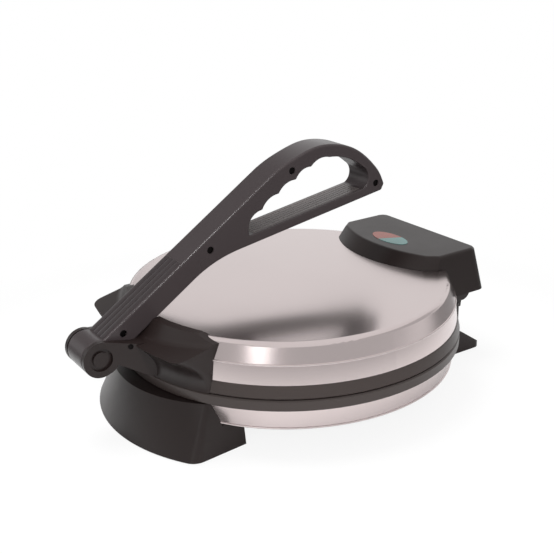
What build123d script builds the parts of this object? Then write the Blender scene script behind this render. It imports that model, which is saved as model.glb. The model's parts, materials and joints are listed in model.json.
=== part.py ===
from build123d import *

import os
from math import asin, atan2, cos, degrees, hypot, radians, sin, sqrt

# Electric roti maker: a round two-plate press with a hinged lid. A long lever is folded back over the lid.
# It pivots on a nose at the lid's front, and swings forward to open the lid and to press it shut.
# Millimetres, +Z up, front towards -Y. The model is drawn about the body's axis, at x = y = 0, with the
# table at z = 0, and is moved on export so that its origin is the centre of the whole footprint.

# ---- clearances ----
seat_gap = 0.15         # between two pieces of one body, where one follows the other's curve
run_gap = 0.3           # between pieces that move past each other
fixed_slip = 0.02       # round a pin or screw in the hole that holds it
turn_slip = 0.08        # round a pin in the hole that turns on it

# ---- heights, from the table up ----
foot_lift = 1.0         # the pads hold the feet this far off the table
foot_h = 22.2           # height of the feet below the body
bottom_t = 2.0          # bottom cover
skirt_h = 18.8          # steel skirt
base_rim_h = 9.4        # black rim of the base
parting_gap = 1.0       # between the two rims, when closed
lid_rim_h = 10.9        # black rim of the lid
wall_h = 16.2           # steel lid, up to its crease
band_h = 16.3           # steel lid, from its crease to its crown
dome_h = 2.2            # rise of the top inside the crown

# ---- radii of the round body ----
body_r = 152.9          # rims
skirt_inset = 2.9       # skirt's top edge, inside the rims
skirt_taper = 4.2
cover_inset = 2.7       # steel lid's foot, inside the rims
wall_taper = 1.6
band_taper = 6.1
crown_round = 5.0
rim_taper = 2.0
rim_edge = 1.0          # chamfer on the rims' edges
steel_t = 1.0

# ---- cooking plates, mirrored about the parting plane ----
flange_w = 12.8         # mounting flange, beyond the plate
plate_gap = 1.6
plate_lift = 1.5        # parting plane of the plates, above the middle of the rims' gap
plate_proud = 2.6       # cooking face, beyond the mounting flange
plate_body_t = 8.6
flange_t = 3.0
shelf_t = 3.0           # rim's inner shelf, which carries the flange
flange_edge = 0.7       # gap round the flange
rim_wall = 11.4         # rim's section, outside the flange
shelf_w = 10.0
element_in = 40.0       # heating element's ring, inside the plate's edge
element_r = 3.5
element_gap_deg = 30.0
element_bend_r = 8.0
element_tail = 6.0
rib_w = 12.0
rib_h = 4.5
shield_in = 16.0        # shield's flat, inside the plate's edge
shield_slope = 6.0
shield_foot = 8.0
shield_drop = 0.6       # air between heating element and shield
plate_screw_r = 1.9
plate_screw_head_r = 3.2
plate_screw_head_h = 2.4
plate_screws_n = 6

# ---- controls inside the base ----
thermostat_r = 8.0
thermostat_h = 10.0
thermostat_y = 24.0
fuse_r = 2.0
fuse_len = 22.0
terminal_w, terminal_d, terminal_h = 36.0, 18.0, 9.0
terminal_in = 26.0      # terminal block, inside the heating element's ring
vent_ring_in = 71.0     # ring of vent slots, inside the bottom cover's edge
vent_len, vent_w = 34.0, 4.0
vents_n = 20
cover_screws_n = 4
cover_screw_in = 8.8
cord_hole_r = 3.6
bushing_wall = 1.6
bushing_lip = 1.8
cord_x = -30.0
cord_up = 9.8           # cord entry, above the bottom cover

# ---- lid hinge ----
hinge_back = 7.1        # hinge axis, behind the rims
hinge_up = 9.6          # hinge axis, above the lid rim's lower edge
knuckle_r = 9.5
hinge_pin_r = 3.0
base_knuckle_in = 40.0
base_knuckle_w = 17.0
lid_knuckle_in = 22.0
block_back = 2.0        # hinge block's back face, ahead of the hinge axis
block_drop = 11.0       # hinge block's top, below the hinge axis
block_depth = 40.0
block_corner = 5.0

# ---- hinge housing on the lid ----
housing_h = 10.0        # roof, above the top of the lid
housing_skirt_up = 6.0  # lower edge, above the hinge axis
housing_wall = 3.0
housing_half_w = 68.0
housing_flare = 7.0
housing_back = 6.0      # roof's back edge, behind the hinge axis
housing_back_flare = 6.0
roof_edge = 3.5
roof_side = 40.0        # the roof's straight sides end this far ahead of the hinge axis
roof_shoulder = (60.0, 49.3)
roof_nose = 62.4
housing_side = 56.0     # the same, at the housing's lower edge
housing_shoulder = (66.0, 78.0)
housing_nose = 114.0
lamp_ahead = 42.0       # middle of the lamp window, ahead of the hinge axis
lamp_half_w, lamp_half_d = 23.0, 10.5
lens_t = 3.3
lens_ledge = 1.5
lamp_r = 3.0
lamp_h = 4.5

# ---- front bracket and its nose ----
bracket_proud = 1.1     # bracket's lower edge, beyond the rims
bracket_half_w = 80.0
bracket_corner = 5.0    # corners at the lower edge
cove = (                # the flare above it: down from the crown, out in front, out at the sides, corner radius
    (27.8, 1.0, 3.5, 7.0), (16.8, 9.0, 17.0, 11.0), (9.8, 15.5, 28.0, 15.0), (-4.2, 22.0, 38.0, 16.0))
lip_ahead = 17.5        # front of the flared form at crown height, beyond the rims
crown_lap = 4.0         # bracket's back edge, inside the crown's edge
bracket_lip_h = 2.4     # back edge, above the crown's edge
shoulder_out = 2.1      # shoulder, outside the crown's edge
shoulder_h = 1.2
hollow_slope = 1.3      # the top face, as it falls from the shoulder
hollow_round = 9.0
side_chamfer = 20.0     # the top falls away towards the bracket's sides
side_slope = 0.28
lip_slope = 0.226       # rise of the lip towards the back
lip_z_drop = 14.8       # front of the lip, below the crown's edge
rim_notch = 4.2         # depth of the rim's notch behind the bracket
nose_half_w = 26.0      # nose, where it leaves the bracket
nose_reach = 39.7       # lever's pivot, beyond the rims
pivot_up = 11.9         # lever's pivot, above the lid rim
cheek_in = 15.0
cheek_t = 4.2
cheek_recess_r = 9.6
cheek_recess = 2.4
boss_r = 15.0
pivot_pin_r = 4.0
pivot_head_r = 6.5

# ---- lever, drawn from its pivot with the shank along +s and its top towards +t ----
shank_top = 9.1
shank_under = 11.1
bar_start = 123.5       # where the lower bar leaves the shank
bar_deg = 23.9
bar_len = 180.0
bar_t = 8.6
crest_back = 82.07      # where the grip leaves the shank's top, before the bar's tip
scallop = 3.0           # depth of the finger hollows
lever_round = 2.0       # on the outer edges
tip_round = 2.5
hand_round = 1.2        # round the hand hole
cusp_round = 1.6
lever_screw_r = 1.5
lever_screw_head_r = 3.0
lever_screw_head_h = 1.8
lever_screw_sunk = 1.2  # heads, below the face
lever_screw_reach = 9.5 # tips, beyond the middle plane
blind_gap = 0.5         # beyond a screw's tip

# ---- feet ----
foot_wall = 3.2
front_foot_half_w = 88.5
front_foot_ahead = 26.1     # tip of the foot's lower edge, beyond the rims
front_foot_corner = 13.0
front_foot_side = 28.7      # from the tip back to where the sides start
front_foot_back_half_w = 83.5
front_foot_top_half_w = 77.0
front_foot_top_ahead = 12.6
front_foot_top_side = 33.5
front_foot_back = 78.0      # from the tip to the foot's back edge
rear_foot_half_w = 59.5
rear_foot_behind = 32.0     # foot's rear edge, beyond the rims
rear_foot_edge_h = 3.5
rear_foot_corner = 8.0
rear_foot_len = 57.0
pad_r = 7.0
pad_h = 3.0
pad_in = 15.0               # pads, inside the feet's sides
foot_screw_in = 33.5        # foot screws, inside the feet's sides
foot_screw_back = 3.8
pad_wall = 2.5              # round the pads' sockets and the screws' bosses
cover_edge = 3.0            # bottom cover, inside the skirt's lower edge
foot_screw_r = 1.8
foot_screw_head_r = 3.4
foot_screw_head_h = 2.2

# ---- heights and radii that follow ----
foot_top_z = foot_lift + foot_h
skirt_z = foot_top_z + bottom_t
rim_z = skirt_z + skirt_h
base_top_z = rim_z + base_rim_h
lid_z = base_top_z + parting_gap
cover_z = lid_z + lid_rim_h
crease_z = cover_z + wall_h
crown_z = crease_z + band_h
top_z = crown_z + dome_h
roof_z = top_z + housing_h
skirt_top_r = body_r - skirt_inset
skirt_bottom_r = skirt_top_r - skirt_taper
cover_r = body_r - cover_inset
crease_r = cover_r - wall_taper
crown_r = crease_r - band_taper
meet_z = (base_top_z + lid_z) / 2 + plate_lift
plate_top = meet_z - plate_gap / 2
cord_z = skirt_z + cord_up
hinge_z = lid_z + hinge_up
housing_skirt_z = hinge_z + housing_skirt_up
pivot_z = cover_z + pivot_up
flange_top = plate_top - plate_proud
shelf_top = flange_top - flange_t
shelf_under = shelf_top - shelf_t
plate_under = plate_top - plate_body_t
recess_r = body_r - rim_wall
flange_r = recess_r - flange_edge
plate_r = flange_r - flange_w
element_ring_r = plate_r - element_in
shield_r = plate_r - shield_in
terminal_y = element_ring_r - terminal_in
element_z = plate_under - rib_h
shield_z = element_z - element_r - shield_drop - steel_t
screw_ring_r = recess_r - shelf_w / 2 - flange_edge
bracket_z = lid_z + run_gap
cheek_out = cheek_in + cheek_t
lever_half_w = cheek_in - run_gap
bracket_r = body_r + bracket_proud
bracket_lip_r = crown_r - crown_lap
shoulder_r = crown_r + shoulder_out
pivot_y = -body_r - nose_reach
hinge_y = body_r + hinge_back
lamp_y = hinge_y - lamp_ahead
block_y = hinge_y - block_back
block_top = hinge_z - block_drop
base_knuckle_out = base_knuckle_in + base_knuckle_w
lid_knuckle_out = base_knuckle_in - run_gap - 0.1
housing_back_y = hinge_y + housing_back
front_foot_y = -body_r - front_foot_ahead
front_foot_side_y = front_foot_y + front_foot_side
front_foot_top_y = -body_r - front_foot_top_ahead
front_foot_top_side_y = front_foot_top_y + front_foot_top_side
front_foot_back_y = front_foot_y + front_foot_back
rear_foot_y = body_r + rear_foot_behind
rear_foot_front_y = rear_foot_y - rear_foot_len
y_front = pivot_y - boss_r
y_back = rear_foot_y
y_mid = (y_front + y_back) / 2

mirror_plane = Plane.XY.offset(meet_z)


def outline(*points):
    return make_face(Polyline(*points, close=True))


def turned(face):
    """A section drawn as (radius, height), turned about the body's axis."""
    return revolve(Plane.XZ * face, Axis.Z)


def slab(face, x0, x1):
    """A profile drawn as (y, z), made solid from x0 to x1."""
    return extrude(Plane.YZ.offset(x0) * face, x1 - x0)


def disc(x, y, z0, z1, r):
    return Pos(x, y, z0) * extrude(Circle(r), z1 - z0)


def rod(y, z, r, x0, x1):
    """A round bar along X."""
    return slab(Pos(y, z) * Circle(r), x0, x1)


def box(x0, x1, y0, y1, z0, z1):
    middle = Pos((x0 + x1) / 2, (y0 + y1) / 2, (z0 + z1) / 2)
    return middle * Box(x1 - x0, y1 - y0, z1 - z0)


def around(count, r, start=0.0):
    """Centres spaced evenly on a circle."""
    turns = [radians(start + 360 * i / count) for i in range(count)]
    return [(r * cos(a), r * sin(a)) for a in turns]


def rounded(face, radius, *corners):
    """A face with its corners nearest the given points rounded."""
    picked = [min(face.vertices(), key=lambda v: (v.center() - Vector(*c)).length) for c in corners]
    return fillet(picked, radius)


def both_sides(shape):
    return shape + mirror(shape, about=Plane.YZ)


# ---- the round body's own forms ----

def cover_face(gap):
    """Half section of the steel lid's outer form, grown by gap, down to the lid rim's top."""
    crown = (crown_r + 0.72 * gap, crown_z + gap)
    dome_r = (crown[0] ** 2 + dome_h ** 2) / (2 * dome_h)
    dome = (crown[0] / 2, top_z + gap - dome_r + sqrt(dome_r ** 2 - crown[0] ** 2 / 4))
    sides = Polyline((0, cover_z), (cover_r + gap, cover_z), (crease_r + gap, crease_z), crown)
    top = ThreePointArc(crown, dome, (0, top_z + gap))
    face = make_face([*sides.edges(), top, Line((0, top_z + gap), (0, cover_z))])
    return rounded(face, crown_round + gap, crown)


def cover_form(gap):
    return turned(cover_face(gap))


def lid_rim_form(gap, inset=0.0):
    return turned(outline(
        (0, lid_z - gap), (body_r - inset + gap, lid_z - gap),
        (body_r - inset + gap, cover_z + gap), (0, cover_z + gap)))


def base_form(gap, drop=0.0):
    """The base below its rim: bottom cover and skirt."""
    return turned(outline(
        (0, foot_top_z - drop), (skirt_bottom_r + gap, foot_top_z - drop),
        (skirt_bottom_r + gap, skirt_z), (skirt_top_r + gap, rim_z), (0, rim_z)))


def rim_form(gap):
    return turned(outline(
        (0, rim_z - gap), (body_r + gap, rim_z - gap), (body_r + gap, base_top_z + gap), (0, base_top_z + gap)))


def rim_section(z_shelf, z_mouth, z_back, r_back):
    """Half section of a rim: a shelf for the plate's flange, a wall and a lip over the steel sheet."""
    way = 1 if z_mouth > z_shelf else -1
    shelf_face = z_shelf + way * shelf_t
    lip_r = recess_r - 1.5
    points = [
        (recess_r - shelf_w, z_shelf), (lip_r, z_shelf), (lip_r, z_back),
        (r_back - rim_edge, z_back), (r_back, z_back + way * rim_edge),
        (body_r, z_mouth - way * rim_edge), (body_r - rim_edge, z_mouth), (recess_r, z_mouth),
        (recess_r, shelf_face), (recess_r - shelf_w, shelf_face)]
    return outline(*points)


# ---- base ----

def make_base_skirt():
    top_in = screw_ring_r + plate_screw_head_r + run_gap
    bottom_in = skirt_bottom_r - 13.5
    inner_top = skirt_top_r - steel_t * 1.2
    inner_bottom = skirt_bottom_r - steel_t * 0.8
    skirt = turned(outline(
        (bottom_in, skirt_z), (skirt_bottom_r, skirt_z), (skirt_top_r, rim_z), (top_in, rim_z),
        (top_in, rim_z - steel_t), (inner_top, rim_z - steel_t),
        (inner_bottom, skirt_z + steel_t), (bottom_in, skirt_z + steel_t)))
    skirt -= cover_screw_holes(skirt_z - 1, skirt_z + steel_t + 1)
    for x, y in foot_screw_places():
        skirt -= disc(x, y, skirt_z - 1, skirt_z + steel_t + 1, foot_screw_r + fixed_slip)
    skirt -= Plane.XZ.offset(-skirt_bottom_r + 12) * Pos(cord_x, cord_z) * extrude(Circle(cord_hole_r + 1), -20)
    return skirt


def make_base_rim_ring():
    ring = turned(rim_section(shelf_under, base_top_z, rim_z, body_r))
    for x, y in around(plate_screws_n, screw_ring_r, 30):
        ring -= disc(x, y, shelf_under - 1, shelf_top + 1, plate_screw_r + fixed_slip)
    return ring


def make_cooking_plate():
    """Cast plate with a bead round its rim and a heavy rib that holds the heating element."""
    rib_in = element_ring_r - rib_w / 2
    rib_out = element_ring_r + rib_w / 2
    edge = flange_top - flange_t
    plate = turned(outline(
        (0, plate_under), (rib_in, plate_under), (rib_in, element_z), (rib_out, element_z), (rib_out, plate_under),
        (plate_r, plate_under), (plate_r, edge), (flange_r, edge), (flange_r, flange_top),
        (plate_r + 4, flange_top), (plate_r, plate_top), (0, plate_top)))
    plate -= Pos(0, 0, element_z) * Torus(element_ring_r, element_r + fixed_slip)
    for x, y in around(plate_screws_n, screw_ring_r, 30):
        plate -= disc(x, y, edge - 1, edge + flange_t - 0.6, plate_screw_r + fixed_slip)
    return plate


def element_bends():
    """Start of each bend, and the way it runs on, where the heating element's two ends turn from the plate."""
    half = radians(element_gap_deg / 2)
    x, y = element_ring_r * sin(half), element_ring_r * cos(half)
    return [(side * x, y, -side * cos(half), sin(half)) for side in (1, -1)]


def element_tails():
    """Where the two tails pass through the shield."""
    return [(x + way_x * element_bend_r, y + way_y * element_bend_r) for x, y, way_x, way_y in element_bends()]


def make_heating_element():
    start = 90 + element_gap_deg / 2
    ring = CenterArc((0, 0), element_ring_r, start, 360 - element_gap_deg)
    section = Plane(origin=ring @ 0, z_dir=ring % 0) * Circle(element_r)
    element = Pos(0, 0, element_z) * sweep(section, path=ring)
    bend_z = element_z - element_bend_r
    for x, y, way_x, way_y in element_bends():
        end = Plane(origin=(x, y, element_z), z_dir=(way_x, way_y, 0)) * Circle(element_r)
        element += revolve(end, Axis((x, y, bend_z), (-way_y, way_x, 0)), 90)
    for x, y in element_tails():
        element += disc(x, y, bend_z - element_tail, bend_z, element_r)
    return element


def make_heat_shield():
    """Pressed sheet over the element, with a coned edge that seats on the plate's back."""
    foot_in = shield_r + shield_slope
    foot_out = foot_in + shield_foot
    shield = turned(outline(
        (0, shield_z), (shield_r, shield_z), (foot_in + 1, plate_under - steel_t), (foot_out, plate_under - steel_t),
        (foot_out, plate_under), (foot_in, plate_under), (shield_r - 1, shield_z + steel_t), (0, shield_z + steel_t)))
    for x, y in element_tails():
        shield -= disc(x, y, shield_z - 1, shield_z + steel_t + 1, element_r + 2.6)
    shield -= disc(0, thermostat_y, shield_z - 1, shield_z + steel_t + 1, thermostat_r + 0.5)
    return shield


def make_plate_screws():
    screws = Part()
    for x, y in around(plate_screws_n, screw_ring_r, 30):
        screws += disc(x, y, shelf_under - plate_screw_head_h, shelf_under, plate_screw_head_r)
        screws += disc(x, y, shelf_under, shelf_top + flange_t - 0.8, plate_screw_r)
    return screws


def make_thermostat():
    low = plate_under - thermostat_h
    body = disc(0, thermostat_y, low, plate_under, thermostat_r)
    for x in (-3.5, 3.5):
        body += box(x - 0.4, x + 0.4, thermostat_y - 3, thermostat_y + 3, low - 5, low)
    return body


def make_thermal_fuse():
    """Fuse in its clip, held against the back of the lower shield."""
    y = -thermostat_y
    z = shield_z - fuse_r - 0.8
    fuse = rod(y, z, fuse_r, -fuse_len / 2, fuse_len / 2)
    clip = box(-3, 3, y - fuse_r - 1.6, y + fuse_r + 1.6, z, shield_z)
    return fuse + clip


def make_terminal_block():
    y0 = terminal_y - terminal_d / 2
    block = box(-terminal_w / 2, terminal_w / 2, y0, y0 + terminal_d, skirt_z, skirt_z + terminal_h)
    for i in (-1, 0, 1):
        x = i * terminal_w / 3
        block -= disc(x, terminal_y, skirt_z + terminal_h - 4, skirt_z + terminal_h + 1, 2.5)
        if i:
            groove = x - i * terminal_w / 6
            block -= box(groove - 0.5, groove + 0.5, y0 - 1, y0 + terminal_d + 1, skirt_z + 4, skirt_z + terminal_h + 1)
    return block


def cover_screw_places():
    return around(cover_screws_n, skirt_bottom_r - cover_screw_in, 45)


def cover_screw_holes(z0, z1):
    holes = Part()
    for x, y in cover_screw_places():
        holes += disc(x, y, z0, z1, lever_screw_r + fixed_slip)
    return holes


def foot_screw_places():
    """Two screws hold each foot to the bottom cover, near its back edge."""
    front_x = front_foot_back_half_w - foot_screw_in
    rear_x = rear_foot_half_w - foot_screw_in + 4
    front_y = front_foot_back_y - foot_wall - foot_screw_back
    rear_y = rear_foot_front_y + foot_wall + foot_screw_back
    return [(-front_x, front_y), (front_x, front_y), (-rear_x, rear_y), (rear_x, rear_y)]


def make_bottom_cover():
    """Round floor of the base, with a ring of vent slots."""
    edge_r = skirt_bottom_r - cover_edge
    cover = disc(0, 0, foot_top_z, skirt_z, edge_r)
    slot = extrude(Pos(edge_r - vent_ring_in, 0) * SlotOverall(vent_len, vent_w), bottom_t + 2)
    for i in range(vents_n):
        cover -= Pos(0, 0, foot_top_z - 1) * Rot(0, 0, (i + 0.5) * 360 / vents_n) * slot
    cover -= cover_screw_holes(foot_top_z - 1, skirt_z + 1)
    for x, y in foot_screw_places():
        cover -= disc(x, y, foot_top_z - 1, skirt_z + 1, foot_screw_r + fixed_slip)
    return cover


def make_cover_screws():
    screws = Part()
    for x, y in cover_screw_places():
        screws += disc(x, y, foot_top_z, skirt_z + steel_t + 1.5, lever_screw_r)
        screws += disc(x, y, foot_top_z - lever_screw_head_h, foot_top_z, lever_screw_head_r)
    return screws


# ---- feet ----

def foot_face(half_w, side_y, tip_y, back_y, back_half_w, corner_r, inset):
    """Plan of a foot: straight back and sides, and an arched end between two rounded corners."""
    way = 1 if tip_y > 0 else -1
    w = half_w - inset
    end = side_y - way * inset
    back = back_y + way * inset
    right, left = (w, end), (-w, end)
    back_right, back_left = (back_half_w - inset, back), (inset - back_half_w, back)
    edges = [Line(back_left, back_right), Line(back_right, right),
             ThreePointArc(right, (0, tip_y - way * inset), left), Line(left, back_left)]
    return rounded(make_face(edges), corner_r - inset, right, left)


def front_foot_form(inset):
    low = foot_face(front_foot_half_w, front_foot_side_y, front_foot_y, front_foot_back_y,
                    front_foot_back_half_w, front_foot_corner, inset)
    high = foot_face(front_foot_top_half_w, front_foot_top_side_y, front_foot_top_y, front_foot_back_y,
                     front_foot_top_half_w, front_foot_corner / 2, inset)
    return loft([Pos(0, 0, foot_lift) * low, Pos(0, 0, rim_z) * high], ruled=True)


def rear_foot_form(inset):
    """A wedge from the hinge block's foot out to a thin rear edge."""
    plan = box(inset - rear_foot_half_w, rear_foot_half_w - inset, rear_foot_front_y + inset, rear_foot_y - inset,
               foot_lift, foot_top_z)
    ends = plan.edges().filter_by(Axis.Z).group_by(Axis.Y)[-1]
    side = outline(
        (rear_foot_front_y, foot_lift), (rear_foot_y - inset, foot_lift),
        (rear_foot_y - inset, foot_lift + rear_foot_edge_h), (block_y - inset, foot_top_z),
        (rear_foot_front_y, foot_top_z))
    return fillet(ends, rear_foot_corner - inset) & slab(side, -rear_foot_half_w, rear_foot_half_w)


def pad_places():
    front = (front_foot_half_w - pad_in, front_foot_side_y + pad_in)
    rear = (rear_foot_half_w - pad_in, rear_foot_y - 1.4 * pad_in)
    return [(-front[0], front[1]), front, (-rear[0], rear[1]), rear]


def with_fixings(foot, form, pads, screws):
    """The foot with a socket for each pad and a boss for each screw."""
    roof = foot_top_z - foot_wall
    for x, y in pads:
        foot += disc(x, y, foot_lift, foot_top_z, pad_r + pad_wall) & form
        foot -= disc(x, y, 0, pad_h, pad_r + fixed_slip)
    for x, y in screws:
        foot += disc(x, y, roof - foot_wall, foot_top_z, foot_screw_head_r + pad_wall) & form
        foot -= disc(x, y, 0, foot_top_z + 1, foot_screw_r + fixed_slip)
        foot -= disc(x, y, 0, roof, foot_screw_head_r + seat_gap)
    return foot


def make_front_foot():
    form = front_foot_form(0) - base_form(seat_gap)
    hollow = front_foot_form(foot_wall) - base_form(foot_wall + seat_gap, foot_wall)
    hollow -= box(-body_r, body_r, -2 * body_r, 0, rim_z - foot_wall, rim_z + 1)
    foot = form - hollow
    return with_fixings(foot, form, pad_places()[:2], foot_screw_places()[:2])


def make_rear_foot():
    form = rear_foot_form(0)
    hollow = rear_foot_form(foot_wall) & Pos(0, 0, -foot_wall) * rear_foot_form(0)
    hollow += Pos(0, 0, -foot_wall) * rear_foot_form(foot_wall)
    foot = form - hollow
    return with_fixings(foot, form, pad_places()[2:], foot_screw_places()[2:])


def make_foot_pads():
    pads = Part()
    for x, y in pad_places():
        pads += disc(x, y, 0, pad_h, pad_r)
    return pads


def make_foot_screws():
    screws = Part()
    for x, y in foot_screw_places():
        low = foot_top_z - foot_wall
        screws += disc(x, y, low - foot_screw_head_h, low, foot_screw_head_r)
        screws += disc(x, y, low, skirt_z + 1.5, foot_screw_r)
    return screws


# ---- lid hinge ----

def make_hinge_block():
    """Moulded block behind the skirt, with the two outer knuckles of the lid hinge."""
    front = block_y - block_depth
    half_w = base_knuckle_out + 1
    block = slab(outline((front, foot_top_z), (block_y, foot_top_z), (block_y, block_top), (front, block_top)),
                 -half_w, half_w)
    block = fillet(block.edges().filter_by(Axis.Z).group_by(Axis.Y)[-1], block_corner)
    arm = outline((hinge_y - knuckle_r, block_top - 4), (block_y, block_top - 4), (hinge_y, hinge_z),
                  (hinge_y - knuckle_r, hinge_z))
    knuckle = slab(arm + Pos(hinge_y, hinge_z) * Circle(knuckle_r), base_knuckle_in, base_knuckle_out)
    block += both_sides(knuckle)
    block -= base_form(seat_gap) + rim_form(seat_gap)
    block -= rod(hinge_y, hinge_z, hinge_pin_r + fixed_slip, -half_w - 1, half_w + 1)
    cord_way = Pos(cord_x, 0, cord_z) * Rot(90, 0, 0) * Cylinder(cord_hole_r + bushing_wall + fixed_slip, 500)
    return block - (cord_way & box(-half_w, half_w, 0, 2 * block_y, 0, hinge_z))


def make_cord_bushing():
    """Rubber bushing pressed into the block's back, where a supply cord would enter."""
    bush = Plane.XZ.offset(-block_y) * Pos(cord_x, cord_z) * (
        extrude(Circle(cord_hole_r + bushing_wall), 10) + extrude(Circle(cord_hole_r + bushing_wall + bushing_lip), -2))
    hole = Plane.XZ.offset(-block_y - 5) * Pos(cord_x, cord_z) * extrude(Circle(cord_hole_r), 20)
    return bush - hole


def make_hinge_pin():
    pin = rod(hinge_y, hinge_z, hinge_pin_r, -base_knuckle_out - 0.5, base_knuckle_out + 0.5)
    return chamfer(pin.edges().filter_by(GeomType.CIRCLE), 0.5)


# ---- lid ----

def make_lid_rim_ring():
    upper_shelf = 2 * meet_z - shelf_under
    ring = turned(rim_section(upper_shelf, lid_z, cover_z, body_r - rim_taper))
    for x, y in around(plate_screws_n, screw_ring_r, 30):
        ring -= disc(x, y, lid_z, cover_z, plate_screw_r + fixed_slip)
    notch = lid_rim_form(seat_gap) - disc(0, 0, lid_z - 5, cover_z + 5, body_r - rim_notch)
    return ring - (notch & box(-bracket_half_w - seat_gap, bracket_half_w + seat_gap, -200, 0, lid_z - 5, cover_z + 5))


def make_lid_cover():
    """Pressed steel lid: a tapered wall, a crease, a sloping band and a slightly domed top."""
    flange = outline((recess_r, cover_z), (cover_r - 0.5, cover_z), (cover_r - 0.5, cover_z + steel_t),
                     (recess_r, cover_z + steel_t))
    return turned(cover_face(0) - cover_face(-steel_t) + flange)


def housing_face(half_w, back_y, ahead, shoulder, nose, inset):
    """Plan of the housing: square at the back, arched towards the front. ahead, shoulder and nose are how far
    its sides, its shoulders and its middle reach ahead of the hinge axis."""
    w = half_w - inset
    back = back_y - inset
    side = hinge_y - ahead + inset
    sx, sy = shoulder[0] - inset, hinge_y - shoulder[1] + inset
    edges = [Line((-w, back), (w, back)), Line((w, back), (w, side)), Line((w, side), (sx, sy)),
             ThreePointArc((sx, sy), (0, hinge_y - nose + inset), (-sx, sy)), Line((-sx, sy), (-w, side)),
             Line((-w, side), (-w, back))]
    face = make_face(edges)
    return rounded(face, 9 - inset, (w, back), (-w, back))


def housing_form(inset):
    high = housing_face(housing_half_w, housing_back_y, roof_side, roof_shoulder, roof_nose, inset)
    low = housing_face(housing_half_w + housing_flare, housing_back_y + housing_back_flare,
                       housing_side, housing_shoulder, housing_nose, inset)
    return loft([Pos(0, 0, housing_skirt_z) * low, Pos(0, 0, roof_z) * high], ruled=True)


def lens_outline(grow):
    return Pos(-1, lamp_y) * Ellipse(lamp_half_w + grow, lamp_half_d + grow)


def make_hinge_housing():
    """Moulded housing over the back of the lid: lamp window in its roof, lid knuckles under it."""
    form = housing_form(0)
    form = fillet(form.edges().group_by(Axis.Z)[-1], roof_edge)
    roof_under = roof_z - housing_wall
    hollow = housing_form(housing_wall) - box(-body_r, body_r, 0, 2 * body_r, roof_under, roof_z + 10)
    housing = form - hollow
    arm = outline((hinge_y - knuckle_r - 6, hinge_z), (hinge_y + 8, hinge_z), (hinge_y + 8, housing_skirt_z + 1),
                  (housing_back_y + 2, housing_skirt_z + 4), (housing_back_y - 2, roof_under + 1),
                  (hinge_y - knuckle_r - 6, roof_under + 1))
    knuckle = slab(arm + Pos(hinge_y, hinge_z) * Circle(knuckle_r), lid_knuckle_in, lid_knuckle_out)
    housing += both_sides(knuckle)
    housing -= cover_form(seat_gap) + lid_rim_form(seat_gap)
    housing -= rod(hinge_y, hinge_z, hinge_pin_r + turn_slip, -60, 60)
    window = extrude(lens_outline(0), 20)
    return housing - Pos(0, 0, roof_under - 5) * window


def lens(side):
    """One half of the oval lamp window, on its ledge under the roof. side is -1 at the left, 1 at the right."""
    roof_under = roof_z - housing_wall
    lens = Pos(0, 0, roof_under) * extrude(lens_outline(-seat_gap), lens_t)
    lens += Pos(0, 0, roof_under - 1.5) * extrude(lens_outline(lens_ledge), 1.5)
    half = Pos(-1, lamp_y, roof_z) * Rot(0, 0, -28) * Pos(side * (40 + seat_gap / 2), 0, 0) * Box(80, 120, 40)
    return lens & half


def make_indicator_lamps():
    top = roof_z - housing_wall - 1.5
    lamps = Part()
    for x in (-11, 9):
        lamps += disc(x, lamp_y, top - lamp_h, top, lamp_r)
    return lamps


# ---- front bracket ----

def bracket_plan(front_y, side_y, corner_r):
    """Plan of the bracket at one height: straight sides and a bowed front between two rounded corners."""
    right, left = (bracket_half_w, side_y), (-bracket_half_w, side_y)
    back_y = -body_r / 2
    edges = [Line((-bracket_half_w, back_y), (bracket_half_w, back_y)), Line((bracket_half_w, back_y), right),
             ThreePointArc(right, (0, front_y), left), Line(left, (-bracket_half_w, back_y))]
    return rounded(make_face(edges), corner_r, right, left)


def bracket_form():
    """The bracket's outer walls: round at the rim, then coved out to a squarer front at the lip."""
    low_side = -sqrt(bracket_r ** 2 - bracket_half_w ** 2)
    levels = [(bracket_z, -bracket_r, low_side, bracket_corner)]
    levels += [(crown_z - down, -bracket_r - ahead, low_side - side, corner) for down, ahead, side, corner in cove]
    return loft([Pos(0, 0, z) * bracket_plan(front_y, side_y, corner) for z, front_y, side_y, corner in levels])


def bracket_scoop():
    """The space over the bracket: a flat that falls to the front lip and runs up to the crown in a hollow."""
    front_y = -body_r - lip_ahead
    out_r = body_r + nose_reach
    high = top_z + 40
    hollow = turned(outline(
        (bracket_lip_r - 4, crown_z + bracket_lip_h + 0.3), (shoulder_r, crown_z + shoulder_h),
        (shoulder_r + 20, crown_z + shoulder_h - 20 * hollow_slope), (out_r, rim_z), (out_r, high),
        (bracket_lip_r - 4, high)))
    flat = [(y, crown_z - lip_z_drop + lip_slope * (y - front_y)) for y in (-out_r, -body_r / 2)]
    hollow &= slab(outline(*flat, (-body_r / 2, high), (-out_r, high)), -out_r, out_r)
    meeting = hollow.edges().filter_by(GeomType.ELLIPSE).sort_by(SortBy.LENGTH)[-1]
    hollow = fillet(meeting, hollow_round)
    side_x = bracket_half_w - side_chamfer
    side_z = crown_z + bracket_lip_h
    side = outline((side_x, side_z), (side_x + 40, side_z - 40 * side_slope), (side_x + 40, high), (side_x, high))
    return hollow + both_sides(Pos(0, -body_r / 2) * extrude(Plane.XZ * side, body_r))


def rest_angle():
    """The shank's slope when the lever lies on the lid: it just clears the rounded crown."""
    lean = atan2(band_h, band_taper)
    back = crown_round * (1 / sin(lean) - cos(lean) / sin(lean))
    to_y = -(crown_r - back) - pivot_y
    to_z = crown_z - crown_round - pivot_z
    reach = shank_under + crown_round + run_gap
    return degrees(atan2(to_z, to_y) + asin(reach / hypot(to_y, to_z)))


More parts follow.
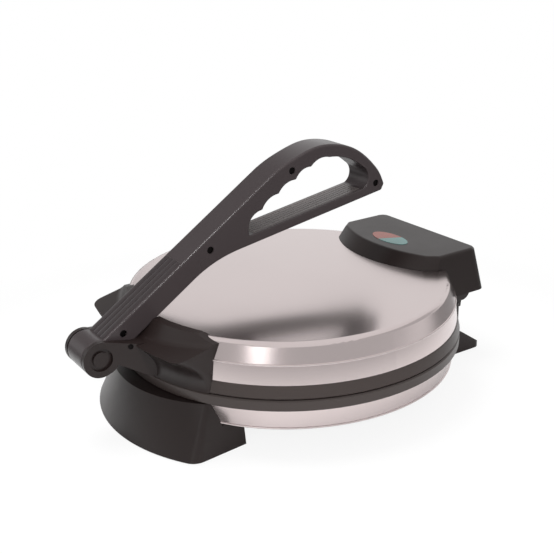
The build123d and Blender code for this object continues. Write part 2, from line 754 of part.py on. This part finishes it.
def on_lever(face):
    """Moves a lever profile, drawn from its pivot, to its rest place in the (y, z) plane."""
    return Pos(pivot_y, pivot_z) * Rot(0, 0, rest_angle()) * face


def nose_profile():
    """Side view of the nose: the pivot boss and the plate that joins it to the bracket."""
    plate = outline(
        (pivot_y, pivot_z), (pivot_y + 5.5, pivot_z + boss_r - 1.2), (-bracket_r - 10, pivot_z + 9),
        (-bracket_r + 11, pivot_z + 9), (-bracket_r + 11, bracket_z), (-bracket_r - 1, bracket_z + 1.4),
        (pivot_y + 13, pivot_z - 6.5))
    return plate + Pos(pivot_y, pivot_z) * Circle(boss_r)


def nose_plan():
    """Top view of the nose: it narrows from the bracket to the two cheeks."""
    lip_y = -body_r - lip_ahead + 7
    right = [(nose_half_w + 6, -bracket_r + 11), (nose_half_w, lip_y), (cheek_out, pivot_y + 6),
             (cheek_out, y_front - 1)]
    left = [(-x, y) for x, y in right[::-1]]
    return outline(*right, *left)


def make_front_bracket():
    """Moulded bracket on the lid's front, scooped on top, with the two-cheek nose that carries the lever."""
    bracket = bracket_form() - bracket_scoop()
    bracket += slab(nose_profile(), -nose_half_w - 6, nose_half_w + 6) & extrude(nose_plan(), top_z)
    bracket -= cover_form(seat_gap) + disc(0, 0, lid_z - 5, top_z + 40, bracket_lip_r)
    bracket -= disc(0, 0, lid_z - 5, cover_z + seat_gap, body_r - rim_notch + seat_gap)
    shank_way = outline((-40, -shank_under - run_gap), (90, -shank_under - run_gap), (90, 40), (-40, 40))
    slot = on_lever(shank_way) + Pos(pivot_y, pivot_z) * Circle(boss_r + run_gap)
    bracket -= slab(slot, -cheek_in, cheek_in)
    bracket -= box(-cheek_in, cheek_in, -crown_r - 2, -crown_r / 2, crown_z - 4, top_z + 20)
    bracket -= rod(pivot_y, pivot_z, pivot_pin_r + fixed_slip, -cheek_out - 1, cheek_out + 1)
    recess = rod(pivot_y, pivot_z, cheek_recess_r, cheek_out - cheek_recess, cheek_out + 1)
    return bracket - both_sides(recess)


def make_pivot_pin():
    seat = cheek_out - cheek_recess
    pin = rod(pivot_y, pivot_z, pivot_pin_r, -seat, seat)
    head = rod(pivot_y, pivot_z, pivot_head_r, seat, seat + 1.8)
    return pin + both_sides(head)


# ---- lever ----

def bar_point(along, above):
    """A point on the lower bar, measured along its underside and square to it."""
    a = radians(-bar_deg)
    return (bar_start + along * cos(a) - above * sin(a), -shank_under + along * sin(a) + above * cos(a))


def from_tip(*points):
    """Points measured from the lower bar's tip."""
    tip = bar_point(bar_len, 0)
    return [(tip[0] + s, tip[1] + t) for s, t in points]


def lever_profile():
    """Side view of the whole lever: barrel, shank, arched grip and lower bar."""
    tip, toe = bar_point(bar_len, 0), (bar_start - 24, -shank_under)
    grip = from_tip((-51.07, 88.43), (-31.07, 81.53), (-14.07, 68.83), (0.23, 48.73), (6.93, 24.03), (5.53, 3.03))
    crest = [(tip[0] - crest_back, shank_top), *grip]
    back = Spline(*crest, tangents=[(1, 0), (-0.25, -1)])
    heel = bar_point(26, 0)
    under = Spline(heel, toe, tangents=[(-cos(radians(bar_deg)), sin(radians(bar_deg))), (-1, 0)])
    edges = [Line((0, shank_top), crest[0]), back, Line(crest[-1], tip), Line(tip, heel), under,
             Line(toe, (0, -shank_under)), Line((0, -shank_under), (0, shank_top))]
    return rounded(make_face(edges), tip_round, tip, crest[-1]) + Circle(boss_r)


def finger_opening():
    """The hand hole: straight along the bar, with hollows for four fingers under the grip."""
    cusps = from_tip((-104.97, 75.13), (-84.67, 75.03), (-64.57, 72.93), (-46.37, 71.43), (-27.17, 65.23))
    start = bar_point(37, bar_t)
    end = bar_point(bar_len - 20, bar_t)
    low, rear, high, front_top = from_tip((-4.6, 21.0), (-3.9, 32.0), (-12.1, 50.0), (-118.57, 76.03))
    edges = [Line(start, end), ThreePointArc(end, low, rear), ThreePointArc(rear, high, cusps[-1])]
    for right, left in zip(cusps[::-1], cusps[-2::-1]):
        dx, dy = left[0] - right[0], left[1] - right[1]
        span = hypot(dx, dy)
        top = ((right[0] + left[0]) / 2 + scallop * dy / span, (right[1] + left[1]) / 2 - scallop * dx / span)
        edges.append(ThreePointArc(right, top, left))
    edges.append(ThreePointArc(cusps[0], front_top, start))
    opening = make_face(edges)
    return fillet(opening.vertices(), cusp_round)


def lever_screw_places():
    rear = from_tip((-63.47, 82.43), (-1.6, 10.5))
    return [(27.3, 0.5), (bar_start + 2.4, -0.9), *rear]


def lever_solid(x0, x1):
    return slab(on_lever(lever_profile() - finger_opening()), x0, x1)


def lever_holes(r, x0, x1):
    holes = Part()
    for s, t in lever_screw_places():
        holes += slab(on_lever(Pos(s, t) * Circle(r)), x0, x1)
    return holes


def make_lever_shell(side):
    """One half of the lever, split down the middle, with its outer edges rounded."""
    shell = lever_solid(0, side * lever_half_w)
    for rim, r in ((1, hand_round), (0, lever_round)):
        flank = shell.faces().sort_by(Axis.X)[-1 if side > 0 else 0]
        wires = [flank.outer_wire(), *flank.inner_wires()]
        shell = fillet(wires[rim].edges(), r)
    return shell - rod(pivot_y, pivot_z, pivot_pin_r + turn_slip, -20, 20)


def make_lever_right_shell():
    head_seat = lever_half_w - lever_screw_head_h - lever_screw_sunk
    holes = lever_holes(lever_screw_r + fixed_slip, -1, lever_half_w + 1)
    holes += lever_holes(lever_screw_head_r + seat_gap, head_seat, lever_half_w + 1)
    return make_lever_shell(1) - holes


def make_lever_left_shell():
    return make_lever_shell(-1) - lever_holes(lever_screw_r + fixed_slip, -lever_screw_reach - blind_gap, 1)


def make_lever_screws():
    head_seat = lever_half_w - lever_screw_head_h - lever_screw_sunk
    return lever_holes(lever_screw_r, -lever_screw_reach, head_seat) + lever_holes(lever_screw_head_r, head_seat,
                                                                      head_seat + lever_screw_head_h)


def upper(shape):
    """A base piece mirrored into the lid."""
    return mirror(shape, about=mirror_plane)


def main():
    plate = make_cooking_plate()
    element = make_heating_element()
    shield = make_heat_shield()
    screws = make_plate_screws()
    nodes = {
        "base_skirt": make_base_skirt(),
        "base_rim_ring": make_base_rim_ring(),
        "lower_cooking_plate": plate,
        "lower_heating_element": element,
        "lower_heat_shield": shield,
        "lower_plate_screws": screws,
        "thermostat": make_thermostat(),
        "thermal_fuse": make_thermal_fuse(),
        "terminal_block": make_terminal_block(),
        "bottom_cover": make_bottom_cover(),
        "cover_screws": make_cover_screws(),
        "front_foot": make_front_foot(),
        "rear_foot": make_rear_foot(),
        "foot_pads": make_foot_pads(),
        "foot_screws": make_foot_screws(),
        "hinge_block": make_hinge_block(),
        "cord_bushing": make_cord_bushing(),
        "hinge_pin": make_hinge_pin(),
        "lid_rim_ring": make_lid_rim_ring(),
        "lid_cover": make_lid_cover(),
        "upper_cooking_plate": upper(plate),
        "upper_heating_element": upper(element),
        "upper_heat_shield": upper(shield),
        "upper_plate_screws": upper(screws),
        "hinge_housing": make_hinge_housing(),
        "red_lens": lens(-1),
        "green_lens": lens(1),
        "indicator_lamps": make_indicator_lamps(),
        "front_bracket": make_front_bracket(),
        "pivot_pin": make_pivot_pin(),
        "lever_right_shell": make_lever_right_shell(),
        "lever_left_shell": make_lever_left_shell(),
        "lever_screws": make_lever_screws(),
    }
    os.makedirs("parts", exist_ok=True)
    for name, shape in nodes.items():
        export_step(Pos(0, -y_mid, 0) * shape, f"parts/{name}.step")


if __name__ == "__main__":
    main()
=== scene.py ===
import json
from math import cos, pi, radians, sin

import bmesh
import bpy
from mathutils import Matrix, Vector


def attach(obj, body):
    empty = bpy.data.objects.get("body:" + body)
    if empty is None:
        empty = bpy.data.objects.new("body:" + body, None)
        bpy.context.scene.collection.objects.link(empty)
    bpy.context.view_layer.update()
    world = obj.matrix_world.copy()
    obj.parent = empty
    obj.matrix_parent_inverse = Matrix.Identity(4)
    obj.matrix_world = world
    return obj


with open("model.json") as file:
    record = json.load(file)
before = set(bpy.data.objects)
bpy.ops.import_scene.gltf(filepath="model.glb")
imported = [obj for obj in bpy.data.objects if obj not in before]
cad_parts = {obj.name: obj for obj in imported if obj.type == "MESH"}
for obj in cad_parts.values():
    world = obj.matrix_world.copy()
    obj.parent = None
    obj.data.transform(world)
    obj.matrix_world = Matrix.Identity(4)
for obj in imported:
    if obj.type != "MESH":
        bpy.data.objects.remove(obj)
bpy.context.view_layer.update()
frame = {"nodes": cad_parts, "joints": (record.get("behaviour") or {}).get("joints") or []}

# ---- Room and camera ----
# A pale floor under soft, even light. The camera looks down on the maker from its front right,
# from a little under a metre away.

AXIS_Y = 0.01135        # the round body's axis stands here on the Y axis, in metres


def linear(code):
    """A colour written as an sRGB hex code, for Blender's linear sockets."""
    levels = [int(code[i:i + 2], 16) / 255 for i in (1, 3, 5)]
    return tuple(v / 12.92 if v <= 0.04045 else ((v + 0.055) / 1.055) ** 2.4 for v in levels) + (1.0,)


def add(tree, kind, values=None, links=None, **settings):
    """A shader node with its settings, socket values and incoming links."""
    made = tree.nodes.new("ShaderNode" + kind)
    for name, value in settings.items():
        setattr(made, name, value)
    for name, value in (values or {}).items():
        made.inputs[name].default_value = value
    for name, socket in (links or {}).items():
        tree.links.new(socket, made.inputs[name])
    return made


def new_finish(name, colour=None, **values):
    """A finish with what is the same all over it: its material, its tree and its shader."""
    material = bpy.data.materials.new(name)
    material.use_nodes = True
    shader = material.node_tree.nodes["Principled BSDF"]
    if colour:
        shader.inputs["Base Color"].default_value = linear(colour)
    for socket, value in values.items():
        shader.inputs[socket.replace("_", " ")].default_value = value
    return material, material.node_tree, shader


scene = bpy.context.scene
scene.view_settings.view_transform = "Standard"

CAMERA_YAW, CAMERA_DROP, CAMERA_ROLL = 57, 20.76, -1.53     # degrees
CAMERA_OFFSET = (-0.011546, 0.031418, 0.87916)              # from the aim, in the camera's own axes
camera_aim = Vector((0, AXIS_Y, 0.064))
camera_data = bpy.data.cameras.new("camera")
camera_data.sensor_fit = "HORIZONTAL"
camera_data.sensor_width = 36
camera_data.lens = 62.64
camera = bpy.data.objects.new("camera", camera_data)
scene.collection.objects.link(camera)
camera_turn = (Matrix.Rotation(radians(CAMERA_YAW), 3, "Z")
               @ Matrix.Rotation(radians(90 - CAMERA_DROP), 3, "X")
               @ Matrix.Rotation(radians(CAMERA_ROLL), 3, "Z"))
camera_place = camera_aim + camera_turn @ Vector(CAMERA_OFFSET)
camera.matrix_world = Matrix.Translation(camera_place) @ camera_turn.to_4x4()
scene.camera = camera

# The camera, and reflections and light through clear plastic, see a pure white room. Its light on
# everything else is weaker.
ROOM_LEVEL = 0.55
world = bpy.data.worlds.new("studio")
scene.world = world
world.use_nodes = True
tree = world.node_tree
sky = tree.nodes["Background"]
path = add(tree, "LightPath")
seen = add(tree, "Math", links={0: path.outputs["Is Camera Ray"], 1: path.outputs["Is Glossy Ray"]},
           operation="MAXIMUM")
seen = add(tree, "Math", links={0: seen.outputs[0], 1: path.outputs["Is Transmission Ray"]},
           operation="MAXIMUM")
strength = add(tree, "MapRange", {"To Min": ROOM_LEVEL, "To Max": 1.0}, {"Value": seen.outputs[0]})
tree.links.new(strength.outputs[0], sky.inputs["Strength"])
sky.inputs["Color"].default_value = linear("#FFFFFF")


def soft_lamp(name, place, aim, width, power):
    """A round soft lamp, in metres and watts."""
    data = bpy.data.lights.new(name, "AREA")
    data.shape = "DISK"
    data.size = width
    data.energy = power
    lamp = bpy.data.objects.new(name, data)
    lamp.location = place
    lamp.rotation_euler = (Vector(aim) - Vector(place)).to_track_quat("-Z", "Y").to_euler()
    scene.collection.objects.link(lamp)
    return lamp


# The first two light the floor and the plastic, and stay out of the polished steel. The third is the bright
# patch in the steel's bands, and the last draws the light along the lever's edge.
body_middle = (0, 0, 0.08)
soft_lamp("overhead", (-0.3, -0.3, 1.6), body_middle, width=0.8, power=16).visible_glossy = False
soft_lamp("side", (1.5, -0.5, 0.7), body_middle, width=0.8, power=19).visible_glossy = False
soft_lamp("window", (0.85, -1.13, 0.56), body_middle, width=0.42, power=0.95)
edge_lamp = soft_lamp("edge", (0.763, -0.432, 1.139), (0.01, -0.12, 0.12), width=0.2, power=9)
only_lever = bpy.data.collections.new("lit_by_edge_lamp")
for name in ("lever_right_shell", "lever_left_shell", "front_bracket", "pivot_pin"):
    only_lever.objects.link(frame["nodes"][name])
edge_lamp.light_linking.receiver_collection = only_lever

# A white paper sheet under the maker. It darkens from 0.3 m out, which tones down its reflection in the
# steel, while the camera sees it fade into the white backdrop.
floor_mesh = bpy.data.meshes.new("floor")
bm = bmesh.new()
bmesh.ops.create_circle(bm, cap_ends=True, radius=6, segments=64)
bm.to_mesh(floor_mesh)
bm.free()
floor = bpy.data.objects.new("floor", floor_mesh)
scene.collection.objects.link(floor)
paper, tree, shader = new_finish("backdrop_paper", Roughness=0.9)
floor_mesh.materials.append(paper)
coords = add(tree, "TexCoord")
out = add(tree, "VectorMath", links={0: coords.outputs["Object"]}, operation="LENGTH")
tone = add(tree, "MapRange", {"From Min": 0.31, "From Max": 0.46, "To Min": 0.95, "To Max": 0.3},
           {"Value": out.outputs["Value"]})
tree.links.new(tone.outputs[0], shader.inputs["Base Color"])
path = add(tree, "LightPath")
glow = add(tree, "Emission", {"Color": linear("#FFFFFF"), "Strength": 1.0})
white = add(tree, "MapRange", {"From Min": 0.24, "From Max": 0.42, "To Min": 0.86, "To Max": 1.0},
            {"Value": out.outputs["Value"]})
blend = add(tree, "Math", links={0: path.outputs["Is Camera Ray"], 1: white.outputs[0]},
            operation="MULTIPLY")
mixed = add(tree, "MixShader", links={0: blend.outputs[0], 1: shader.outputs[0], 2: glow.outputs[0]})
tree.links.new(mixed.outputs[0], tree.nodes["Material Output"].inputs["Surface"])

WALL_RADIUS = 2.3       # metres


def reflected_wall(name, start_deg, sweep_deg, foot_z, head_z, level):
    """A grey studio wall, part of a cylinder round the maker, which only reflections see."""
    mesh = bpy.data.meshes.new(name)
    bm = bmesh.new()
    x, y = WALL_RADIUS * cos(radians(start_deg)), WALL_RADIUS * sin(radians(start_deg))
    ends = [bm.verts.new((x, y, z)) for z in (foot_z, head_z)]
    edge = bm.edges.new(ends)
    bmesh.ops.spin(bm, geom=[*ends, edge], cent=(0, 0, 0), axis=(0, 0, 1), angle=radians(sweep_deg),
                   steps=48)
    bm.to_mesh(mesh)
    bm.free()
    wall = bpy.data.objects.new(name, mesh)
    scene.collection.objects.link(wall)
    paint = bpy.data.materials.new(name + "_paint")
    paint.use_nodes = True
    glow = add(paint.node_tree, "Emission", {"Color": linear("#FFFFFF"), "Strength": level})
    paint.node_tree.links.new(glow.outputs[0], paint.node_tree.nodes["Material Output"].inputs["Surface"])
    mesh.materials.append(paint)
    for ray in ("camera", "diffuse", "transmission", "volume_scatter", "shadow"):
        setattr(wall, "visible_" + ray, False)


reflected_wall("near_wall", start_deg=-105, sweep_deg=190, foot_z=0.3, head_z=1.7, level=0.63)
reflected_wall("left_wall", start_deg=160, sweep_deg=60, foot_z=1.0, head_z=2.9, level=0.3)


# ---- Steel lid and skirt ----
# Deep-drawn stainless steel sheet, turned against fine abrasive after forming. The lid is drawn with a
# crease round its wall and a rounded crown, and the skirt closes the base.

MM = 0.001


def dress(material, slot, *names):
    """Puts one finish on CAD nodes."""
    for name in names:
        node = frame["nodes"][name]
        for place in node.material_slots:
            place.material = material


# 304 stainless, spun and satin polished: fine rings about the axis, which spread each reflection across
# them, and faint clouds in the polish. The real rings are about 0.1 mm apart; they are drawn 1 mm apart so
# that they show.
steel, tree, shader = new_finish("satin_stainless_steel", "#CCC0BF", Metallic=1.0, Anisotropic=0.35)
here = add(tree, "Mapping", {"Location": (0, -AXIS_Y, 0)},
           {"Vector": add(tree, "TexCoord").outputs["Object"]})
parts = add(tree, "SeparateXYZ", links={0: here.outputs[0]})
flat = add(tree, "CombineXYZ", links={0: parts.outputs[0], 1: parts.outputs[1]})
radius = add(tree, "VectorMath", links={0: flat.outputs[0]}, operation="LENGTH")
ring = add(tree, "CombineXYZ", links={0: radius.outputs["Value"], 2: parts.outputs[2]})
rings = add(tree, "TexNoise", {"Scale": 1000.0, "Detail": 3.0}, {"Vector": ring.outputs[0]})
relief = add(tree, "Bump", {"Strength": 0.35, "Distance": 0.00001}, {"Height": rings.outputs[0]})
tree.links.new(relief.outputs[0], shader.inputs["Normal"])
cloud = add(tree, "TexNoise", {"Scale": 14.0, "Detail": 2.0}, {"Vector": here.outputs[0]})
rough = add(tree, "MapRange", {"To Min": 0.16, "To Max": 0.24}, {"Value": cloud.outputs[0]})
tree.links.new(rough.outputs[0], shader.inputs["Roughness"])
dress(steel, "steel", "base_skirt", "lid_cover")


def place_piece(name, mesh, material, body):
    """Puts a new piece, whose points are already in place, on its body with its finish."""
    mesh.materials.append(material)
    piece = bpy.data.objects.new(name, mesh)
    scene.collection.objects.link(piece)
    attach(piece, body)


def smooth_mesh(name, bm):
    """A bmesh as a mesh with smooth faces that point outwards."""
    bmesh.ops.recalc_face_normals(bm, faces=bm.faces)
    for face in bm.faces:
        face.smooth = True
    mesh = bpy.data.meshes.new(name)
    bm.to_mesh(mesh)
    bm.free()
    return mesh


def rolled_ring(name, radius, height, roll, body):
    """A bead rolled round the sheet steel, in millimetres."""
    bm = bmesh.new()
    bmesh.ops.create_circle(bm, radius=roll * MM, segments=12)
    bmesh.ops.rotate(bm, cent=(0, 0, 0), matrix=Matrix.Rotation(pi / 2, 3, "X"), verts=bm.verts)
    bmesh.ops.translate(bm, vec=(radius * MM, AXIS_Y, height * MM), verts=bm.verts)
    bmesh.ops.spin(bm, geom=[*bm.verts, *bm.edges], cent=(0, AXIS_Y, 0), axis=(0, 0, 1), angle=2 * pi,
                   steps=192, use_merge=True)
    place_piece(name, smooth_mesh(name, bm), steel, body)


# The skirt's lower edge is rolled outward into a hem, so that it isn't sharp, and the lid has a fine bead
# at its crease.
rolled_ring("skirt_hem", radius=145.9, height=26.0, roll=0.9, body="base")
rolled_ring("lid_crease_bead", radius=148.3, height=81.5, roll=0.95, body="lid")


# ---- Black rims, bracket, housing and feet ----
# Moulded in glass-filled black thermoplastic, which stands the heat of the plates. The tool is
# spark-eroded, so the faces are finely grained and satin, a little duller in some patches than in others.

GRAIN_MM = 0.9          # the real grain is about 0.2 mm across, and is drawn this coarse so that it shows


def grained(name, colour, roughness, depth):
    """A grained moulded plastic, with the height of its grain in metres."""
    material, tree, shader = new_finish(name, colour, IOR=1.5, Specular_IOR_Level=0.28)
    here = add(tree, "TexCoord").outputs["Object"]
    grain = add(tree, "TexNoise", {"Scale": 1 / (GRAIN_MM * MM), "Detail": 2.0}, {"Vector": here})
    relief = add(tree, "Bump", {"Strength": 1.0, "Distance": depth}, {"Height": grain.outputs[0]})
    tree.links.new(relief.outputs[0], shader.inputs["Normal"])
    haze = add(tree, "TexNoise", {"Scale": 22.0, "Detail": 3.0}, {"Vector": here})
    rough = add(tree, "MapRange", {"To Min": roughness - 0.06, "To Max": roughness + 0.08},
                {"Value": haze.outputs[0]})
    tree.links.new(rough.outputs[0], shader.inputs["Roughness"])
    return material


black_plastic = grained("moulded_black_plastic", "#1C1514", roughness=0.36, depth=0.00003)
rim_plastic = grained("moulded_rim_plastic", "#38312F", roughness=0.33, depth=0.00002)
dress(rim_plastic, "black_plastic", "base_rim_ring", "lid_rim_ring")
dress(black_plastic, "black_plastic", "front_bracket", "hinge_housing",
      "front_foot", "rear_foot", "hinge_block", "bottom_cover")


# ---- Lever ----
# Two half shells of the same black thermoplastic, screwed together from the right. The hand has polished
# the grip, so it is a little glossier than the rims.

lever_plastic = grained("moulded_lever_plastic", "#312B2C", roughness=0.28, depth=0.00002)
dress(lever_plastic, "lever_plastic", "lever_right_shell", "lever_left_shell")

# The shank's slope at rest, its top above the pivot's line, and the lower bar's start, underside, thickness
# and slope to the shank. Lengths are in millimetres.
SHANK_SLOPE = radians(33.331)
SHANK_TOP = 9.1
BAR_START, BAR_UNDER, BAR_T = 123.5, -11.1, 8.6
BAR_SLOPE = radians(-23.9)
pivot = Vector(next(joint["pos_m"] for joint in frame["joints"] if joint["name"] == "lever_pivot"))


def on_lever(along, above, x=0.0):
    """A point on the lever at rest: along the shank from the pivot, and above it, in millimetres."""
    y = along * cos(SHANK_SLOPE) - above * sin(SHANK_SLOPE)
    z = along * sin(SHANK_SLOPE) + above * cos(SHANK_SLOPE)
    return pivot + Vector((x, y, z)) * MM


def reeds(name, start, end, facing, across, width, height, material):
    """Flat reeds side by side on a face of the lever, in millimetres. start, end and facing, the way that the
    face looks, are along the shank and above it, and across gives the reeds' middles."""
    ahead, up = on_lever(*end) - on_lever(*start), (on_lever(*facing) - on_lever(0, 0)).normalized()
    turn = Matrix((Vector((1, 0, 0)), ahead.normalized(), up)).transposed()
    sunk = 0.3
    bm = bmesh.new()
    for x in across:
        block = bmesh.ops.create_cube(bm, size=1)["verts"]
        bmesh.ops.scale(bm, vec=(width * MM, ahead.length, (height + sunk) * MM), verts=block)
        bmesh.ops.rotate(bm, cent=(0, 0, 0), matrix=turn, verts=block)
        middle = on_lever(*start, x) + ahead / 2 + up * (height - sunk) / 2 * MM
        bmesh.ops.translate(bm, vec=middle, verts=block)
        top = sorted(block, key=lambda v: v.co.dot(up))[4:]
        rim = [e for e in bm.edges if e.verts[0] in top and e.verts[1] in top]
        bmesh.ops.bevel(bm, geom=rim, offset=height * 0.9 * MM, segments=4, profile=0.5, affect="EDGES",
                        material=-1)
    mesh = smooth_mesh(name, bm)
    mesh.set_sharp_from_angle(angle=radians(40))
    place_piece(name, mesh, material, "lever")


# The top of the shank is reeded near the pivot, and the inner face of the lower bar all along, for grip.
# The bar's reeds are painted paler than the lever: painted light, for the light that falls on their upward
# face.
reeds("shank_reeds", (12.5, SHANK_TOP), (100, SHANK_TOP), facing=(0, 1), across=(-9.6, -3.2, 3.2, 9.6),
      width=5.7, height=0.5, material=lever_plastic)
BAR_REEDS = (42, 157)       # where they start and end along the bar
bar_ends = [(BAR_START + s * cos(BAR_SLOPE) - BAR_T * sin(BAR_SLOPE),
             BAR_UNDER + s * sin(BAR_SLOPE) + BAR_T * cos(BAR_SLOPE)) for s in BAR_REEDS]
# painted light: the bar's reeds get a paler plastic for the light on their upward face
reeds("bar_reeds", *bar_ends, facing=(-sin(BAR_SLOPE), cos(BAR_SLOPE)),
      across=(-10.25, -6.15, -2.05, 2.05, 6.15, 10.25), width=3.6, height=0.3,
      material=grained("bar_reeds_painted_light", "#5B5453", roughness=0.3, depth=0.00001))


# ---- Cooking plates ----
# Die-cast aluminium with a sprayed non-stick coating, dark grey with pale flecks of mineral filler. Six
# screws hold each plate to the shelf of its rim.

# the flecks are about 0.5 mm across and 1.5 mm apart
coating, tree, shader = new_finish("non_stick_coating", Roughness=0.42, IOR=1.4)
here = add(tree, "TexCoord").outputs["Object"]
flecks = add(tree, "TexVoronoi", {"Scale": 650.0}, {"Vector": here})
fleck = add(tree, "MapRange", {"From Min": 0.0, "From Max": 0.16, "To Min": 1.0, "To Max": 0.0},
            {"Value": flecks.outputs["Distance"]})
tint = add(tree, "MixRGB", {"Color1": linear("#2B2A2A"), "Color2": linear("#6D6A66")},
           {"Fac": fleck.outputs[0]})
tree.links.new(tint.outputs[0], shader.inputs["Base Color"])
skin = add(tree, "TexNoise", {"Scale": 900.0, "Detail": 2.0}, {"Vector": here})
relief = add(tree, "Bump", {"Strength": 1.0, "Distance": 0.00003}, {"Height": skin.outputs[0]})
tree.links.new(relief.outputs[0], shader.inputs["Normal"])
dress(coating, "coated_plate", "lower_cooking_plate", "upper_cooking_plate")


# ---- Heating elements, shields and small metal parts ----
# Tubular elements, whose steel sheaths are discoloured by heat, with pressed shields of galvanised sheet
# behind them. The screws and the hinge pin are zinc plated, but the lever's screws are blackened.

# brown and grey heat tints in patches about 15 mm long
sheath, tree, shader = new_finish("heat_tinted_sheath", Roughness=0.45, Metallic=0.9)
here = add(tree, "TexCoord").outputs["Object"]
patches = add(tree, "TexNoise", {"Scale": 60.0, "Detail": 3.0}, {"Vector": here})
tint = add(tree, "MixRGB", {"Color1": linear("#57483E"), "Color2": linear("#85796D")},
           {"Fac": patches.outputs[0]})
tree.links.new(tint.outputs[0], shader.inputs["Base Color"])
dress(sheath, "element_steel", "lower_heating_element", "upper_heating_element")

# a dull silver with the crystals of the zinc, each about 6 mm across and a little brighter or duller
zinc, tree, shader = new_finish("zinc_plate", "#B9B8B2", Metallic=1.0)
here = add(tree, "TexCoord").outputs["Object"]
spangle = add(tree, "TexVoronoi", {"Scale": 160.0}, {"Vector": here})
rough = add(tree, "MapRange", {"To Min": 0.26, "To Max": 0.44}, {"Value": spangle.outputs["Color"]})
tree.links.new(rough.outputs[0], shader.inputs["Roughness"])
dress(zinc, "zinc_steel", "lower_heat_shield", "upper_heat_shield", "lower_plate_screws",
      "upper_plate_screws", "cover_screws", "foot_screws", "hinge_pin")

# a thin black film on the steel, which keeps a soft metal shine
black_oxide, tree, shader = new_finish("black_oxide_steel", "#1C1A1A", Metallic=1.0)
here = add(tree, "TexCoord").outputs["Object"]
cloud = add(tree, "TexNoise", {"Scale": 500.0}, {"Vector": here})
rough = add(tree, "MapRange", {"To Min": 0.3, "To Max": 0.5}, {"Value": cloud.outputs[0]})
tree.links.new(rough.outputs[0], shader.inputs["Roughness"])
dress(black_oxide, "zinc_steel", "lever_screws")


# ---- Pivot pin and nose screws ----
# The lever turns on a pin with round heads, moulded in the same plastic as the bracket. A small blackened
# screw is let into each flank of the nose, a little behind it.

dress(black_plastic, "black_plastic", "pivot_pin")

# A domed head with a low rim round it, its foot 0.4 mm deep in the nose: radius and height from the middle
# out, in millimetres. The right one's place is measured from the round body's axis.
HEAD_SECTION = ((0, 0.5), (0.9, 0.45), (1.4, 0.2), (1.6, 0), (1.75, 0.35), (2.2, 0.3), (2.3, -0.4), (0, -0.4))
FLANK_PLACE = Vector((24.4, -169.0, 84.6))
FLANK_NORMAL = Vector((0.9595, -0.2812, 0))
bm = bmesh.new()
section = [bm.verts.new((r * MM, 0, h * MM)) for r, h in HEAD_SECTION]
for pair in zip(section, section[1:]):
    bm.edges.new(pair)
bmesh.ops.spin(bm, geom=[*bm.verts, *bm.edges], cent=(0, 0, 0), axis=(0, 0, 1), angle=2 * pi, steps=24,
               use_merge=True)
bmesh.ops.remove_doubles(bm, verts=bm.verts, dist=0.00001)
bmesh.ops.transform(bm, matrix=FLANK_NORMAL.to_track_quat("Z", "Y").to_matrix(), verts=bm.verts)
bmesh.ops.translate(bm, vec=FLANK_PLACE * MM + Vector((0, AXIS_Y, 0)), verts=bm.verts)
bmesh.ops.mirror(bm, geom=[*bm.verts, *bm.edges, *bm.faces], axis="X", merge_dist=0)
place_piece("nose_screws", smooth_mesh("nose_screws", bm), black_oxide, "lid")


# ---- Foot pads and cord bushing ----
# Black nitrile rubber, matt from its mould. The pads stand under the feet, and the bushing lines the
# cord's way in at the back of the hinge block.

rubber, tree, shader = new_finish("nitrile_rubber", "#262524", Roughness=0.8, IOR=1.52)
here = add(tree, "TexCoord").outputs["Object"]
skin = add(tree, "TexNoise", {"Scale": 700.0, "Detail": 2.0}, {"Vector": here})
relief = add(tree, "Bump", {"Strength": 1.0, "Distance": 0.00005}, {"Height": skin.outputs[0]})
tree.links.new(relief.outputs[0], shader.inputs["Normal"])
dress(rubber, "rubber", "foot_pads", "cord_bushing")


# ---- Thermostat, fuse and terminals ----
# Steatite ceramic bodies, cream coloured and unglazed, which stand the heat. The thermostat sits on the
# plate's back, the fuse on the shield and the terminals on the floor of the base.

steatite, tree, shader = new_finish("steatite_ceramic", "#E6DFCF", Roughness=0.6)
here = add(tree, "TexCoord").outputs["Object"]
skin = add(tree, "TexNoise", {"Scale": 400.0, "Detail": 4.0}, {"Vector": here})
relief = add(tree, "Bump", {"Strength": 1.0, "Distance": 0.00004}, {"Height": skin.outputs[0]})
tree.links.new(relief.outputs[0], shader.inputs["Normal"])
dress(steatite, "ceramic", "thermostat", "thermal_fuse", "terminal_block")


# ---- Lamp window ----
# Two halves of tinted acrylic fill the oval window in the housing's roof, with a small neon lamp
# behind each.


def acrylic(name, colour, deep):
    """Glossy acrylic, whose tint is a little deeper in places."""
    material, tree, shader = new_finish(name, Roughness=0.16, IOR=1.49, Specular_IOR_Level=0.4)
    here = add(tree, "TexCoord").outputs["Object"]
    cloud = add(tree, "TexNoise", {"Scale": 90.0, "Detail": 2.0}, {"Vector": here})
    tint = add(tree, "MixRGB", {"Color1": linear(colour), "Color2": linear(deep)}, {"Fac": cloud.outputs[0]})
    tree.links.new(tint.outputs[0], shader.inputs["Base Color"])
    return material


dress(acrylic("red_acrylic", "#823B2C", "#6E3024"), "red_lens", "red_lens")
dress(acrylic("green_acrylic", "#527A77", "#436967"), "green_lens", "green_lens")

# drawn glass, glossy and slightly wavy
glass, tree, shader = new_finish("lamp_glass", "#F0C9A0", Roughness=0.15, IOR=1.5)
here = add(tree, "TexCoord").outputs["Object"]
waves = add(tree, "TexNoise", {"Scale": 300.0}, {"Vector": here})
relief = add(tree, "Bump", {"Strength": 1.0, "Distance": 0.00002}, {"Height": waves.outputs[0]})
tree.links.new(relief.outputs[0], shader.inputs["Normal"])
dress(glass, "lamp", "indicator_lamps")
